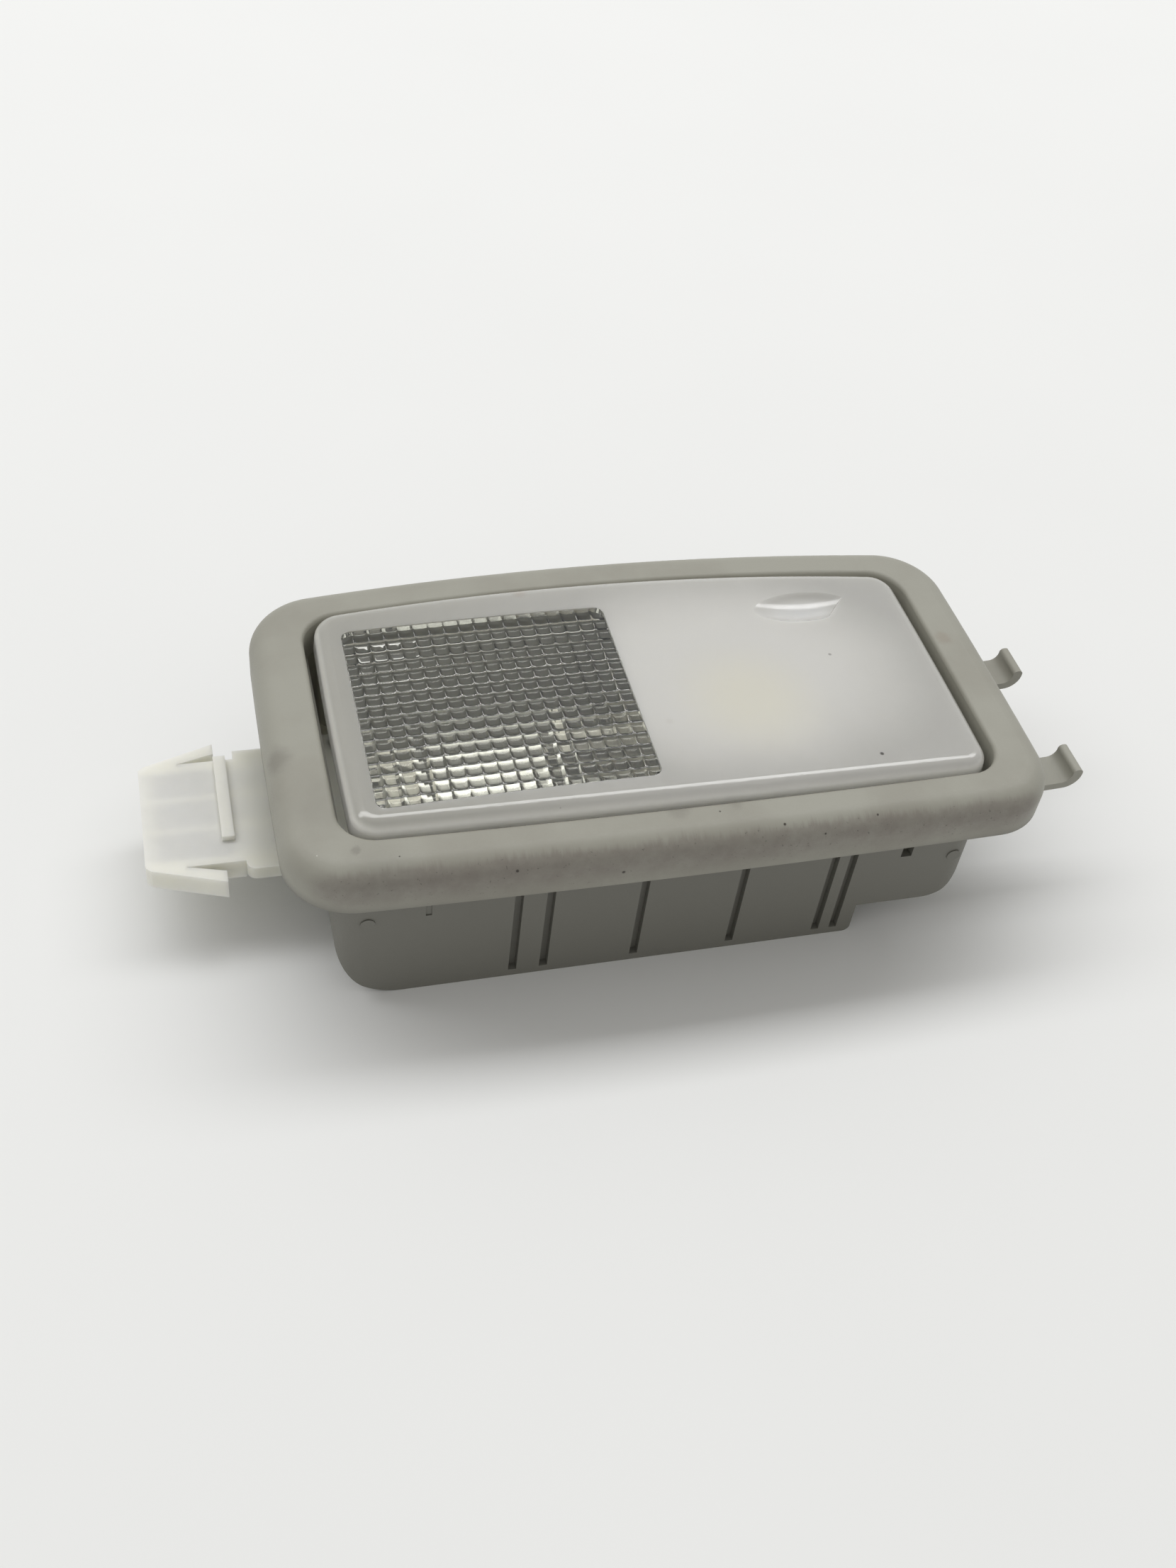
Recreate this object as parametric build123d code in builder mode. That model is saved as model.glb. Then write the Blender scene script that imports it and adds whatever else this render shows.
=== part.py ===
from build123d import *
import os

os.makedirs("parts", exist_ok=True)

# All sizes are millimetres, Z is up, the lamp lies on its back with the lens up.
# The origin is under the middle of the bezel, on the flat back face.

# Bezel frame
bezel_length = 120.4
bezel_width = 66.0
bezel_bow_long = 2.2
bezel_bow_short = 0.4
bezel_corner = 11.0
bezel_height = 7.4
bezel_round = 3.8
bezel_skin = 2.2
bezel_crown = 1.72
opening_length = 103.5
opening_width = 51.8
opening_bow = 1.75
opening_bow_short = 0.2
opening_corner = 6.0
opening_edge = 0.7
seat_height = 24.0

# Tub behind the bezel
tub_left = -53.0
tub_right = 48.2
tub_right_low = 47.3
tub_half_width = 28.8
tub_step = 30.3
tub_shallow = 6.3
tub_wall = 2.2
tub_floor = 2.0
tub_left_radius = 10.0
tub_right_radius = 6.0
tub_corner = 4.0
tub_foot_radius = 1.2
shelf_lift = 0.1
shelf_drop = 1.6
shelf_top = seat_height + shelf_lift
shelf_under = seat_height - shelf_drop
collar_set_back = 0.6
lip_reach = 0.3
groove_places = [-26.0, -21.1, -6.5, 9.4, 24.1, 27.2]
groove_width = 1.3
groove_depth = 1.2
groove_foot = 1.4
groove_past = 0.5
pip_left = -48.5
pip_right = 44.6
pip_drop_left = 7.2
pip_drop_right = 7.9
pip_height_left = seat_height - pip_drop_left
pip_height_right = seat_height - pip_drop_right
pip_diameter = 2.2
pip_proud = 0.2
pip_root = 0.3
notch_left = -39.5
notch_right = 36.2
notch_width = 1.8
mark_width = 0.9
mark_depth = 0.2
back_gap_left = -42.0
back_gap_right = -34.4
back_gap_drop_low = 8.0
back_gap_drop_high = 4.8
back_gap_low = seat_height - back_gap_drop_low
back_gap_high = seat_height - back_gap_drop_high
notch_drop_low = 6.9
notch_drop_high = 4.2
notch_low = seat_height - notch_drop_low
notch_high = seat_height - notch_drop_high
gusset_places = [-21.0, 21.0]
gusset_reach = 4.6
gusset_drop = 11.0
gusset_width = 1.6
gusset_root = 0.5
gusset_top = 2.0
gusset_foot = 1.2

# Hooks at the right end
hook_reach = 70.8
hook_width = 6.1
hook_places = [8.45, -15.8]
hook_drop = 5.0
hook_top = seat_height - hook_drop
hook_thickness = 1.2
hook_tip_drop = 2.5
hook_tip_top = seat_height - hook_tip_drop
hook_tip_thickness = 1.7
hook_tip_round = 0.75
hook_rise = 1.6
hook_bend = 2.9
hook_root = 1.0

# Rocking lens
lens_gap_ends = 1.55
lens_gap_sides = 0.45
lens_length = opening_length - 2 * lens_gap_ends
lens_width = opening_width - 2 * lens_gap_sides
lens_bow = 1.75
lens_bow_short = 0.3
lens_draft = 4.0
lens_corner = 4.6
lens_rise = 8.9
lens_top = seat_height + lens_rise
lens_rest_tilt = 0.5
lens_crown = 1.65
lens_edge = 2.3
skirt_rise = 2.9
lens_skirt_bottom = seat_height + skirt_rise
lens_wall = 1.6
lens_plate = 2.0
pivot_rise = 4.05
pivot_height = seat_height + pivot_rise
pivot_diameter = 2.0
pivot_clearance = 0.06
pivot_depth = 2.4
pivot_end_gap = 0.4
bearing_mouth = 1.0
leg_x = -30.0
leg_y = -21.75
leg_length_x = 4.0
leg_length_y = 2.0
leg_lift = 1.6
leg_set_back = 0.6
scoop_x = 31.0
scoop_y = 15.0
scoop_half_length = 20.0
scoop_bulge = 6.0
scoop_lift = 4.75
scoop_turn = 5.0
scoop_tilt = 2.5
scoop_wall_x = 37.4
scoop_wall_y = 15.2
scoop_wall_lean = (0.70, -0.60, -0.40)

# Clear window with prisms on its inner face
window_left = -46.0
window_right = -3.4
window_y = -1.15
window_half_width = 19.3
window_corner = 1.6
window_thickness = 2.1
prism_pitch = 2.415
prism_columns = 17
prism_rows = 15
first_column = -44.0
first_row = -17.9
prism_depth = 0.42
prism_overlap = 0.62
prism_under = 0.1
prism_run_out = 3.0

# Festoon bulb
bulb_x = 6.0
bulb_axis = 17.0
bulb_glass_length = 26.0
bulb_glass_diameter = 10.5
bulb_neck_diameter = 7.4
bulb_shoulder = 4.0
bulb_cap_length = 6.0
bulb_cap_diameter = 8.4
bulb_nose_diameter = 3.9
bulb_nose_length = 2.0
nose_clearance = 0.05

# Stamped contact strips
strip = 0.8
strip_width = 4.0
row_pitch = 6.5
clip_width = 7.0
clip_rise = 4.2
leaf_lift = 1.6
leaf_tip = -40.0
leaf_root = -17.0
contact_lane_y = -20.4
post_diameter = 4.0
blade_inset = 2.0
blade_drop = 0.2
turn_gap = 2.2
foot_length = 3.0
pad_back = 3.0
pad_reach = 7.0
pad_step = 1.0
arm_reach = 3.2
post_inset = 5.0
post_root = 0.5

# Reflector tray
reflector_sheet = 0.5
reflector_left = -34.0
reflector_front = -12.0
reflector_flank_x = 8.0
reflector_post_x = -29.0
clip_slot = 1.2
reflector_height = 8.5
reflector_half = 15.0
reflector_rise = 6.5
reflector_spread = 8.0
peg_diameter = 2.0
peg_clearance = 0.05
peg_rise = 1.4
peg_places_y = 12.0

# Nylon connector
plug_nose = -79.0
plug_thickness = 3.7
plug_drop = 14.3
plug_bottom = seat_height - plug_drop
plug_web = 2.4
plug_body_half = 10.9
plug_nose_half = 11.0
plug_nose_bevel = 0.8
plug_barb_x = -67.2
plug_barb_half = 14.7
plug_barb_thickness = 2.2
plug_barb_root = 6.0
plug_flange_x = -64.2
plug_flange_half = 12.7
plug_flange_corner = 1.5
plug_shoulder_half = 14.5
plug_inner_end = -44.0
plug_slot_gap = 0.15
plug_rib_width = 1.9
plug_rib_height = 1.0
plug_rib_back = 0.7
plug_rib_front = 6.5
plug_rib_root = 0.5
plug_cavity_width = 5.2
plug_cavity_height = 1.7
plug_cavity_end = -66.0
plug_blade_gap = 0.1
plug_web_root = 0.5
plug_peg_diameter = 2.4
plug_peg_y = 12.4
plug_peg_x = -47.4
plug_peg_root = 0.5
plug_peg_proud = 0.8
rail_root = 0.6
rail_spare = 1.2
rail_bottom = 1.0
plug_shoulder_gap = 0.1

# How far helper solids and cuts run past what they shape
helper_past = 10.0
cut_past = 1.0
pocket_past = 0.002

# Values worked out from the sizes above
bx = bezel_length / 2
by = bezel_width / 2
ox = opening_length / 2
oy = opening_width / 2
bezel_top = seat_height + bezel_height
inner_left = tub_left + tub_wall
inner_half = tub_half_width - tub_wall
plug_top = plug_bottom + plug_thickness
shoulder_x = inner_left + plug_shoulder_gap
web_bottom = plug_top - plug_web
blade_low = plug_top - plug_web / 2 - strip / 2 - blade_drop
blade_high = blade_low + strip
leaf_height = blade_high + leaf_lift
leg_bottom = leaf_height + strip + leg_lift
clip_top = bulb_axis + clip_rise
clip_left_x = bulb_x - bulb_glass_length / 2 - bulb_cap_length
clip_right_x = bulb_x + bulb_glass_length / 2 + bulb_cap_length
clip_half = clip_width / 2
post_places = [(clip_right_x - post_inset, peg_places_y), (clip_right_x - post_inset, -peg_places_y)]
post_places += [(clip_left_x + post_inset, peg_places_y), (clip_left_x + post_inset, -peg_places_y)]
post_places += [(reflector_post_x, peg_places_y)]
window_mid = (window_left + window_right) / 2
window_length = window_right - window_left


# Bowed rectangle with rounded corners, used for the bezel, its opening and the lens
def bowed_outline(half_x, half_y, bow_x, bow_y, corner):
    with BuildSketch() as outline:
        with BuildLine():
            ThreePointArc((half_x - bow_x, -half_y + bow_y), (half_x, 0), (half_x - bow_x, half_y - bow_y))
            ThreePointArc((half_x - bow_x, half_y - bow_y), (0, half_y), (-half_x + bow_x, half_y - bow_y))
            ThreePointArc((-half_x + bow_x, half_y - bow_y), (-half_x, 0), (-half_x + bow_x, -half_y + bow_y))
            ThreePointArc((-half_x + bow_x, -half_y + bow_y), (0, -half_y), (half_x - bow_x, -half_y + bow_y))
        make_face()
        fillet(outline.vertices(), radius=corner)
    return outline.sketch


# Slab between two heights whose faces are crowned along X
def crowned_slab(low, high, half_x, drop, half_y):
    with BuildPart() as slab:
        with BuildSketch(Plane.XZ):
            with BuildLine():
                ThreePointArc((-half_x, low - drop), (0, low), (half_x, low - drop))
                Line((half_x, low - drop), (half_x, high - drop))
                ThreePointArc((half_x, high - drop), (0, high), (-half_x, high - drop))
                Line((-half_x, high - drop), (-half_x, low - drop))
            make_face()
        extrude(amount=half_y, both=True)
    return slab.part


# Tub body: plan and side view drawn once, grown inwards for the cavity
def tub_body(inset, floor, top, half_width, corner):
    left = tub_left + inset
    right = tub_right - inset
    right_low = tub_right_low - inset
    step = tub_step - inset
    shallow = tub_shallow + floor
    left_radius = tub_left_radius - inset
    right_radius = tub_right_radius - inset
    with BuildPart() as body:
        with BuildSketch():
            with Locations(((left + right) / 2, 0)):
                RectangleRounded(right - left, 2 * half_width, corner)
        extrude(amount=top)
        with BuildSketch(Plane.XZ):
            with BuildLine():
                Line((left, top), (left, floor + left_radius))
                RadiusArc((left, floor + left_radius), (left + left_radius, floor), -left_radius)
                Line((left + left_radius, floor), (step, floor))
                Line((step, floor), (step, shallow))
                Line((step, shallow), (right_low - right_radius, shallow))
                RadiusArc(
                    (right_low - right_radius, shallow),
                    (right_low, shallow + right_radius),
                    -right_radius,
                )
                Line((right_low, shallow + right_radius), (right, top))
                Line((right, top), (left, top))
            make_face()
        extrude(amount=2 * half_width, both=True, mode=Mode.INTERSECT)
    return body.part


# Space under the skin of the bezel
with BuildPart() as bezel_hollow:
    with BuildSketch():
        hollow_corner = bezel_corner - bezel_skin
        add(bowed_outline(bx - bezel_skin, by - bezel_skin, bezel_bow_short, bezel_bow_long, hollow_corner))
    extrude(amount=bezel_top + helper_past)
    add(crowned_slab(0, bezel_top - bezel_skin, bx, bezel_crown, bezel_width), mode=Mode.INTERSECT)

# Collar round the opening, with the shelf that carries it at the right
with BuildPart() as collar:
    with BuildSketch(Plane.XY.offset(shelf_under)):
        collar_corner = opening_corner + tub_wall
        add(bowed_outline(ox + tub_wall, oy + tub_wall, opening_bow_short, opening_bow, collar_corner))
    extrude(amount=bezel_top - bezel_crown - collar_set_back - shelf_under)

# Outside of the tub, ending inside the crowned skin of the bezel
with BuildPart() as tub:
    add(tub_body(0, 0, bezel_top + helper_past / 2, tub_half_width, tub_corner))
    tub_top = bezel_top - bezel_skin / 2
    add(crowned_slab(-helper_past / 2, tub_top, bx, bezel_crown, bezel_width), mode=Mode.INTERSECT)
    foot = tub.edges().filter_by(Axis.Y).filter_by_position(Axis.Z, -0.01, 0.01)
    fillet(foot.sort_by(Axis.X)[-1], radius=tub_foot_radius)

# Lamp chamber and the mouth above it
with BuildPart() as chamber:
    add(tub_body(tub_wall, tub_floor, shelf_top, inner_half, tub_corner - tub_wall))
    with BuildSketch(Plane.XY.offset(shelf_top)):
        add(bowed_outline(ox, oy, opening_bow_short, opening_bow, opening_corner))
    extrude(amount=2 * helper_past)

# Rails that carry the connector, ending inside the wall at the rounded left corner
with BuildPart() as rails:
    rail_length = plug_inner_end - inner_left + rail_root
    for side in (-1, 1):
        with Locations((plug_inner_end - rail_length / 2, side * plug_peg_y, (web_bottom + rail_bottom) / 2)):
            Box(rail_length, plug_peg_diameter + rail_spare, web_bottom - rail_bottom)
    rail_limit = tub_body(tub_wall / 2, tub_floor / 2, shelf_top, inner_half, tub_corner - tub_wall)
    add(rail_limit, mode=Mode.INTERSECT)

# Housing: bezel, tub, hooks, seats and pegs in one moulding
with BuildPart() as housing:
    with BuildSketch():
        add(bowed_outline(bx, by, bezel_bow_short, bezel_bow_long, bezel_corner))
    extrude(amount=bezel_top + helper_past)
    add(crowned_slab(seat_height, bezel_top, bx, bezel_crown, bezel_width), mode=Mode.INTERSECT)
    crown_face = housing.faces().sort_by(Axis.Z)[-1]
    fillet(crown_face.edges(), radius=bezel_round)
    add(bezel_hollow.part, mode=Mode.SUBTRACT)
    add(collar.part)
    add(tub.part)
    add(chamber.part, mode=Mode.SUBTRACT)
    lip = housing.edges().filter_by(lambda e: e.center().Z > bezel_top - bezel_crown - lip_reach)
    lip = lip.filter_by(lambda e: abs(e.center().X) < ox + lip_reach and abs(e.center().Y) < oy + lip_reach)
    fillet(lip, radius=opening_edge)
    # grooves on both long walls
    for groove_x in groove_places:
        for side in (-1, 1):
            with Locations((groove_x, side * tub_half_width, groove_foot)):
                Box(
                    groove_width,
                    2 * groove_depth,
                    seat_height + groove_past - groove_foot,
                    align=(Align.CENTER, Align.CENTER, Align.MIN),
                    mode=Mode.SUBTRACT,
                )
    # ejector pips and the small notch under the bezel, on both long walls
    for side in (-1, 1):
        for pip_x, pip_z in ((pip_left, pip_height_left), (pip_right, pip_height_right)):
            with Locations(Location((pip_x, side * (tub_half_width - pip_root), pip_z), (-90 * side, 0, 0))):
                Cylinder(
                    pip_diameter / 2,
                    pip_proud + pip_root,
                    align=(Align.CENTER, Align.CENTER, Align.MIN),
                )
        with Locations((notch_right, side * (tub_half_width - tub_wall / 2), (notch_low + notch_high) / 2)):
            Box(notch_width, tub_wall + cut_past, notch_high - notch_low, mode=Mode.SUBTRACT)
    # shallow mark under the bezel at the front left
    with Locations((notch_left, -tub_half_width, (notch_low + notch_high) / 2)):
        Box(mark_width, 2 * mark_depth, notch_high - notch_low, mode=Mode.SUBTRACT)
    # wider opening in the back wall
    back_gap_x = (back_gap_left + back_gap_right) / 2
    with Locations((back_gap_x, tub_half_width - tub_wall / 2, (back_gap_low + back_gap_high) / 2)):
        Box(
            back_gap_right - back_gap_left,
            tub_wall + cut_past,
            back_gap_high - back_gap_low,
            mode=Mode.SUBTRACT,
        )
    # upturned hooks
    for hook_y in hook_places:
        with BuildSketch(Plane.XZ.offset(-hook_y)) as hook_side:
            with BuildLine():
                Polyline(
                    (tub_right_low - hook_root, hook_top - hook_thickness - hook_rise),
                    (hook_reach, hook_top - hook_thickness),
                    (hook_reach, hook_tip_top),
                    (hook_reach - hook_tip_thickness, hook_tip_top),
                    (hook_reach - hook_tip_thickness, hook_top),
                    (tub_right_low - hook_root, hook_top - hook_rise),
                    close=True,
                )
            make_face()
            corners = hook_side.vertices().filter_by(lambda v: v.X > tub_right_low)
            fillet(corners.filter_by(lambda v: v.Y > hook_top + 0.01), radius=hook_tip_round)
            bend = hook_side.vertices().filter_by(lambda v: v.X > hook_reach - 0.01 and v.Y < hook_top - 0.01)
            fillet(bend, radius=hook_bend)
            crook = hook_side.vertices().filter_by(lambda v: abs(v.Y - hook_top) < 0.01)
            crook = crook.filter_by(lambda v: v.X > tub_right_low)
            fillet(crook, radius=hook_bend - hook_thickness)
        extrude(amount=hook_width / 2, both=True)
    # gussets between the left wall and the bezel
    for gusset_y in gusset_places:
        with BuildSketch(Plane.XZ.offset(-gusset_y)):
            with BuildLine():
                Polyline(
                    (tub_left + gusset_root, seat_height + gusset_top),
                    (tub_left + gusset_root, seat_height - gusset_drop),
                    (tub_left, seat_height - gusset_drop),
                    (tub_left - gusset_reach, seat_height - gusset_foot),
                    (tub_left - gusset_reach, seat_height + gusset_top),
                    close=True,
                )
            make_face()
        extrude(amount=gusset_width / 2, both=True)
    # blind bearings for the lens pivots
    for side in (-1, 1):
        with Locations(Location((0, side * (oy - bearing_mouth), pivot_height), (-90 * side, 0, 0))):
            Cylinder(
                pivot_diameter / 2 + pivot_clearance,
                pivot_depth + pivot_end_gap + bearing_mouth,
                align=(Align.CENTER, Align.CENTER, Align.MIN),
                mode=Mode.SUBTRACT,
            )
    # slot in the left wall and rails with pegs for the connector
    with Locations((tub_left, 0, web_bottom + (plug_web + plug_slot_gap) / 2)):
        slot_width = 2 * (plug_flange_half + plug_slot_gap)
        Box(4 * tub_wall, slot_width, plug_web + plug_slot_gap, mode=Mode.SUBTRACT)
    add(rails.part)
    for side in (-1, 1):
        with Locations((plug_peg_x, side * plug_peg_y, web_bottom - plug_peg_root)):
            Cylinder(
                plug_peg_diameter / 2,
                plug_web + plug_peg_root + plug_peg_proud,
                align=(Align.CENTER, Align.CENTER, Align.MIN),
            )
    # posts and pegs for the reflector
    for post_x, post_y in post_places:
        with Locations((post_x, post_y, tub_floor - post_root)):
            Cylinder(
                post_diameter / 2,
                reflector_height - tub_floor + post_root,
                align=(Align.CENTER, Align.CENTER, Align.MIN),
            )
            Cylinder(
                peg_diameter / 2,
                reflector_height - tub_floor + post_root + reflector_sheet + peg_rise,
                align=(Align.CENTER, Align.CENTER, Align.MIN),
            )
    # post under the earth contact pad
    with Locations((leaf_tip + post_inset, contact_lane_y, tub_floor - post_root)):
        Cylinder(
            post_diameter / 2,
            blade_low - tub_floor + post_root,
            align=(Align.CENTER, Align.CENTER, Align.MIN),
        )
housing.part.label = "housing"
export_step(housing.part, "parts/housing.step")

# Crowned blank shared by the opal lens and its clear window
with BuildPart() as lens_blank:
    with BuildSketch(Plane.XY.offset(lens_skirt_bottom)):
        add(bowed_outline(lens_length / 2, lens_width / 2, lens_bow_short, lens_bow, lens_corner))
    extrude(amount=2 * helper_past, taper=lens_draft)
    add(crowned_slab(0, lens_top, lens_length / 2, lens_crown, lens_width), mode=Mode.INTERSECT)
    lens_face = lens_blank.faces().sort_by(Axis.Z)[-1]
    fillet(lens_face.edges(), radius=lens_edge)

# Heights of the window's inner face, a plane that follows the crown from end to end
crown_radius = ((lens_length / 2) ** 2 + lens_crown**2) / (2 * lens_crown)
drop_left = crown_radius - (crown_radius**2 - window_left**2) ** 0.5
drop_right = crown_radius - (crown_radius**2 - window_right**2) ** 0.5
face_left = lens_top - window_thickness - drop_left
face_right = lens_top - window_thickness - drop_right
face_slope = (face_right - face_left) / window_length

# Smooth block of the clear window, before its prisms are cut
with BuildPart() as window_block:
    with BuildSketch():
        with Locations((window_mid, window_y)):
            RectangleRounded(window_length, 2 * window_half_width, window_corner)
    extrude(amount=lens_top + helper_past / 2)
    with BuildSketch(Plane.XZ):
        with BuildLine():
            Polyline(
                (window_right + 1, lens_top + 1),
                (window_left - 1, lens_top + 1),
                (window_left - 1, face_left - face_slope),
                (window_right + 1, face_right + face_slope),
                close=True,
            )
        make_face()
    extrude(amount=lens_width, both=True, mode=Mode.INTERSECT)
    add(crowned_slab(0, lens_top, lens_length / 2, lens_crown, lens_width), mode=Mode.INTERSECT)

# Inside of the lens shell
with BuildPart() as lens_hollow:
    with BuildSketch(Plane.XY.offset(lens_skirt_bottom)):
        inside_x = lens_length / 2 - lens_wall
        inside_y = lens_width / 2 - lens_wall
        add(bowed_outline(inside_x, inside_y, lens_bow_short, lens_bow, lens_corner - lens_wall))
    extrude(amount=2 * helper_past, taper=lens_draft)
    add(crowned_slab(0, lens_top - lens_plate, lens_length / 2, lens_crown, lens_width), mode=Mode.INTERSECT)

# Leaf-shaped body that presses the finger hollow into the lens, cut off by its steep right wall
scoop_drop = lens_crown * (2 * scoop_x / lens_length) ** 2
scoop_middle = Vector(scoop_x, scoop_y, lens_top - scoop_drop + scoop_lift)
scoop_run = Vector(1, 0, 0).rotate(Axis.Y, scoop_tilt).rotate(Axis.Z, scoop_turn)
scoop_side = Vector(0, -1, 0).rotate(Axis.Z, scoop_turn)
scoop_wall = Plane(origin=(scoop_wall_x, scoop_wall_y, lens_top - scoop_drop), z_dir=scoop_wall_lean)
with BuildPart() as scoop:
    with BuildSketch(Plane(origin=scoop_middle, x_dir=scoop_run, z_dir=scoop_side)):
        with BuildLine():
            Spline(
                (-scoop_half_length, 0),
                (-scoop_half_length / 2, 0.75 * scoop_bulge),
                (0, scoop_bulge),
                (scoop_half_length / 2, 0.75 * scoop_bulge),
                (scoop_half_length, 0),
            )
            Line((scoop_half_length, 0), (-scoop_half_length, 0))
        make_face()
    revolve(axis=Axis(scoop_middle, scoop_run))
    split(bisect_by=scoop_wall, keep=Keep.BOTTOM)

# Opal lens: thin shell with pivots, a switch leg and the leaf-shaped finger hollow
with BuildPart() as level_lens:
    add(lens_blank.part)
    add(lens_hollow.part, mode=Mode.SUBTRACT)
    add(window_block.part, mode=Mode.SUBTRACT)
    for side in (-1, 1):
        with Locations(Location((0, side * (lens_width / 2 - lens_wall), pivot_height), (-90 * side, 0, 0))):
            Cylinder(
                pivot_diameter / 2,
                lens_wall + oy - lens_width / 2 + pivot_depth,
                align=(Align.CENTER, Align.CENTER, Align.MIN),
            )
    with Locations((leg_x, leg_y, leg_bottom)):
        Box(
            leg_length_x,
            leg_length_y,
            lens_top - lens_crown - leg_set_back - leg_bottom,
            align=(Align.CENTER, Align.CENTER, Align.MIN),
        )
    add(scoop.part, mode=Mode.SUBTRACT)

# The photo shows the lens rocked a little, its right end down
pivot_axis = Axis((0, 0, pivot_height), (0, 1, 0))
with BuildPart() as lens_opal:
    add(level_lens.part.rotate(pivot_axis, lens_rest_tilt))
lens_opal.part.label = "lens_opal"
export_step(lens_opal.part, "parts/lens_opal.step")

# Clear window: smooth outside, crossed prism grooves inside that meet in sharp points
window_run = Vector(1, 0, face_slope)


# One groove along the window, in the plane of its inner face
def row_groove(row_y):
    start = Plane(origin=(window_left - 1, 0, face_left - face_slope), x_dir=(0, 1, 0), z_dir=window_run)
    with BuildPart() as groove:
        with BuildSketch(start):
            with BuildLine():
                Polyline(
                    (row_y - prism_overlap * prism_pitch, -prism_under),
                    (row_y + prism_overlap * prism_pitch, -prism_under),
                    (row_y, prism_depth),
                    close=True,
                )
            make_face()
        extrude(amount=window_length + prism_run_out)
    return groove.part


# One groove across the window
def column_groove(column_x):
    base = face_left + (column_x - window_left) * face_slope
    with BuildPart() as groove:
        with BuildSketch(Plane.XZ):
            with BuildLine():
                Polyline(
                    (column_x - prism_overlap * prism_pitch, base - prism_under),
                    (column_x + prism_overlap * prism_pitch, base - prism_under),
                    (column_x, base + prism_depth),
                    close=True,
                )
            make_face()
        extrude(amount=lens_width / 2, both=True)
    return groove.part


with BuildPart() as level_window:
    add(window_block.part)
    for row in range(prism_rows):
        add(row_groove(first_row + row * prism_pitch), mode=Mode.SUBTRACT)
    for column in range(prism_columns):
        add(column_groove(first_column + column * prism_pitch), mode=Mode.SUBTRACT)
with BuildPart() as lens_window:
    add(level_window.part.rotate(pivot_axis, lens_rest_tilt))
lens_window.part.label = "lens_window"
export_step(lens_window.part, "parts/lens_window.step")

# Festoon bulb: glass tube with a metal cap on each end
with BuildPart() as bulb_glass:
    half = bulb_glass_length / 2
    with BuildSketch(Plane.XZ.offset(0)):
        with BuildLine():
            Polyline((bulb_x - half, bulb_axis), (bulb_x - half, bulb_axis + bulb_neck_diameter / 2))
            Spline(
                (bulb_x - half, bulb_axis + bulb_neck_diameter / 2),
                (bulb_x - half + bulb_shoulder, bulb_axis + bulb_glass_diameter / 2),
                tangents=((0.4, 1), (1, 0)),
            )
            Line(
                (bulb_x - half + bulb_shoulder, bulb_axis + bulb_glass_diameter / 2),
                (bulb_x + half - bulb_shoulder, bulb_axis + bulb_glass_diameter / 2),
            )
            Spline(
                (bulb_x + half - bulb_shoulder, bulb_axis + bulb_glass_diameter / 2),
                (bulb_x + half, bulb_axis + bulb_neck_diameter / 2),
                tangents=((1, 0), (0.4, -1)),
            )
            Polyline(
                (bulb_x + half, bulb_axis + bulb_neck_diameter / 2),
                (bulb_x + half, bulb_axis),
                (bulb_x - half, bulb_axis),
            )
        make_face()
    revolve(axis=Axis((0, 0, bulb_axis), (1, 0, 0)))
bulb_glass.part.label = "bulb_glass"
export_step(bulb_glass.part, "parts/bulb_glass.step")

with BuildPart() as bulb_cap_left:
    with Locations(Location((bulb_x - bulb_glass_length / 2, 0, bulb_axis), (0, -90, 0))):
        Cylinder(bulb_cap_diameter / 2, bulb_cap_length, align=(Align.CENTER, Align.CENTER, Align.MIN))
        Cylinder(
            bulb_nose_diameter / 2,
            bulb_cap_length + bulb_nose_length,
            align=(Align.CENTER, Align.CENTER, Align.MIN),
        )
bulb_cap_left.part.label = "bulb_cap_left"
export_step(bulb_cap_left.part, "parts/bulb_cap_left.step")

with BuildPart() as bulb_cap_right:
    with Locations(Location((bulb_x + bulb_glass_length / 2, 0, bulb_axis), (0, 90, 0))):
        Cylinder(bulb_cap_diameter / 2, bulb_cap_length, align=(Align.CENTER, Align.CENTER, Align.MIN))
        Cylinder(
            bulb_nose_diameter / 2,
            bulb_cap_length + bulb_nose_length,
            align=(Align.CENTER, Align.CENTER, Align.MIN),
        )
bulb_cap_right.part.label = "bulb_cap_right"
export_step(bulb_cap_right.part, "parts/bulb_cap_right.step")


# Box given by its two corners, for the stamped strips
def span(x0, x1, y0, y1, z0, z1):
    with Locations(((x0 + x1) / 2, (y0 + y1) / 2, (z0 + z1) / 2)):
        Box(x1 - x0, y1 - y0, z1 - z0)


blade_tip = plug_nose + blade_inset
half_strip = strip_width / 2
lane_low = contact_lane_y - half_strip
lane_high = contact_lane_y + half_strip

# Live strip: blade, run along the floor and the right bulb clip
with BuildPart() as contact_live:
    live_y = row_pitch
    turn_x = plug_inner_end + turn_gap
    span(blade_tip, turn_x + strip, live_y - half_strip, live_y + half_strip, blade_low, blade_high)
    span(turn_x, turn_x + strip, live_y - half_strip, live_y + half_strip, tub_floor, blade_high)
    span(turn_x, clip_right_x + strip, live_y - half_strip, live_y + half_strip, tub_floor, tub_floor + strip)
    foot_left = clip_right_x - foot_length
    span(foot_left, clip_right_x + strip, -clip_half, live_y + half_strip, tub_floor, tub_floor + strip)
    span(clip_right_x, clip_right_x + strip, -clip_half, clip_half, tub_floor, clip_top)
    with Locations(Location((clip_right_x, 0, bulb_axis), (0, 90, 0))):
        Cylinder(bulb_nose_diameter / 2 + nose_clearance, 4 * strip, mode=Mode.SUBTRACT)
contact_live.part.label = "contact_live"
export_step(contact_live.part, "parts/contact_live.step")

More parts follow.
